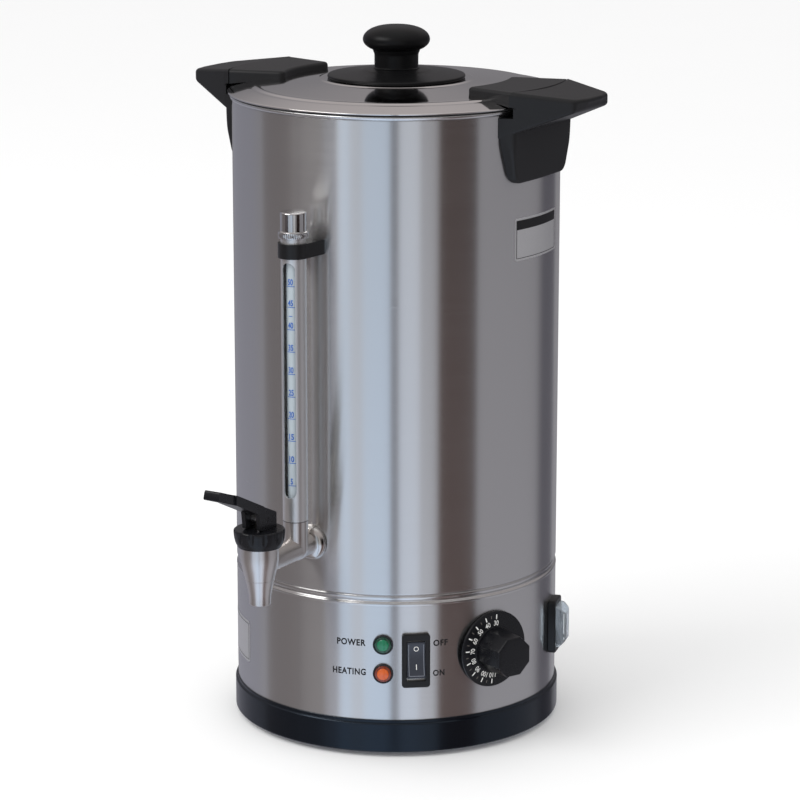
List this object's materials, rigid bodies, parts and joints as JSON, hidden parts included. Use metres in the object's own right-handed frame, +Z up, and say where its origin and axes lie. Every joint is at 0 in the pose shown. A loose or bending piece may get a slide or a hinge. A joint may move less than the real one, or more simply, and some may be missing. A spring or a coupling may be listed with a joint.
{
  "type": "hot water urn",
  "caption": "Round stainless hot water urn: lift-off lid, black side handles, lever tap with sight gauge, lamps, rocker switches and temperature dial on a black base.",
  "frame": {"origin": "centre of the urn's round footprint, on the surface its feet stand on", "axes": "+Z up; the tap points to -Y; the handles are on -X and +X; the dial and switches are on the +X side of the tap"},
  "size_m": [0.3602, 0.4201, 0.572],
  "materials": {
    "wall_steel": "fine brushed",
    "tank_steel": "satin",
    "lid_steel": "mirror polished",
    "tap_steel": "satin",
    "screw_steel": "bright",
    "black_steel": "black oxide",
    "plate_steel": "galvanised",
    "cap_chrome": "polished",
    "heat_aluminium": "cast",
    "element_sheath": "oxidised",
    "copper": "bare copper",
    "black_plastic": "satin",
    "ring_plastic": "satin",
    "switch_plastic": "fine texture",
    "rocker_plastic": "smooth",
    "ceramic": "glazed",
    "foot_rubber": "matte",
    "seal_rubber": "matte",
    "red_silicone": "matte",
    "white_silicone": "satin",
    "clear_silicone": "clear, smooth",
    "gauge_glass": "clear",
    "green_lens": "moulded, clear tint",
    "orange_lens": "moulded, clear tint"
  },
  "bodies": {
    "urn": {"base_ring": "ring_plastic", "base_plate": "plate_steel", "base_screws": "screw_steel", "feet": "foot_rubber", "lower_shell": "wall_steel", "upper_shell": "wall_steel", "inner_tank": "tank_steel", "heat_plate": "heat_aluminium", "heating_element": "element_sheath", "boil_dry_cutout": "ceramic", "thermostat_body": "switch_plastic", "thermostat_bulb": "copper", "terminal_block": "ceramic", "cable_gland": "black_plastic", "gland_nut": "black_plastic", "handle_left": "black_plastic", "handle_right": "black_plastic", "handle_screws": "screw_steel", "tap_arm": "tap_steel", "tap_flange": "tap_steel", "tap_washers": "red_silicone", "tap_lock_nut": "tap_steel", "valve_body": "tap_steel", "tap_bonnet": "black_plastic", "gauge_shield": "tap_steel", "gauge_glass": "gauge_glass", "gauge_seals": "red_silicone", "gauge_cap": "cap_chrome", "gauge_clip": "black_plastic", "clip_screw": "screw_steel", "lamp_bezels": "switch_plastic", "green_lens": "green_lens", "orange_lens": "orange_lens", "rocker_frame": "switch_plastic", "side_switch_frame": "switch_plastic", "side_boot": "clear_silicone"},
    "seal": {"lid_seal": "seal_rubber"},
    "lid": {"lid_pan": "lid_steel", "knob_plate": "black_plastic", "lid_knob": "black_plastic", "knob_screw": "screw_steel", "lid_lug_left": "black_plastic", "lid_lug_right": "black_plastic", "lug_screws": "screw_steel"},
    "valve": {"tap_stem": "tap_steel", "tap_seat_cup": "white_silicone", "tap_spring": "screw_steel"},
    "lever": {"tap_lever": "black_plastic", "lever_pin": "black_steel"},
    "front_rocker": {"front_rocker": "rocker_plastic"},
    "side_rocker": {"side_rocker": "rocker_plastic"},
    "dial": {"dial": "black_plastic", "dial_spindle": "screw_steel"}
  },
  "joints": [
    {"name": "lid_lift", "type": "slide", "parent": "urn", "child": "seal", "axis": [0, 0, 1], "range_m": [0, 0.2]},
    {"name": "lid_turn", "type": "hinge", "parent": "seal", "child": "lid", "pos_m": [0, 0, 0.52], "axis": [0, 0, 1], "range_deg": [0, 40]},
    {"name": "stem_lift", "type": "slide", "parent": "urn", "child": "valve", "axis": [0, 0, 1], "range_m": [0, 0.00318], "stiffness_N_per_m": 120, "springref_m": -0.008, "deforming": ["tap_spring", "tap_seat_cup"]},
    {"name": "lever_press", "type": "hinge", "parent": "valve", "child": "lever", "pos_m": [0, -0.206, 0.2112], "axis": [1, 0, 0], "range_deg": [0, 32]},
    {"name": "front_rocker_tip", "type": "hinge", "parent": "urn", "child": "front_rocker", "pos_m": [0.07889, -0.10207, 0.081], "axis": [0.7912, 0.6115, 0], "range_deg": [0, 18]},
    {"name": "side_rocker_tip", "type": "hinge", "parent": "urn", "child": "side_rocker", "pos_m": [0.12669, 0.03633, 0.081], "axis": [-0.2756, 0.9613, 0], "range_deg": [0, 18]},
    {"name": "dial_turn", "type": "hinge", "parent": "urn", "child": "dial", "pos_m": [0.12206, -0.05307, 0.0835], "axis": [-0.9171, 0.3987, 0], "range_deg": [0, 180]}
  ],
  "couplings": [
    {"joint": "lever_press", "follows": "stem_lift", "rad_per_m": 175.44}
  ]
}
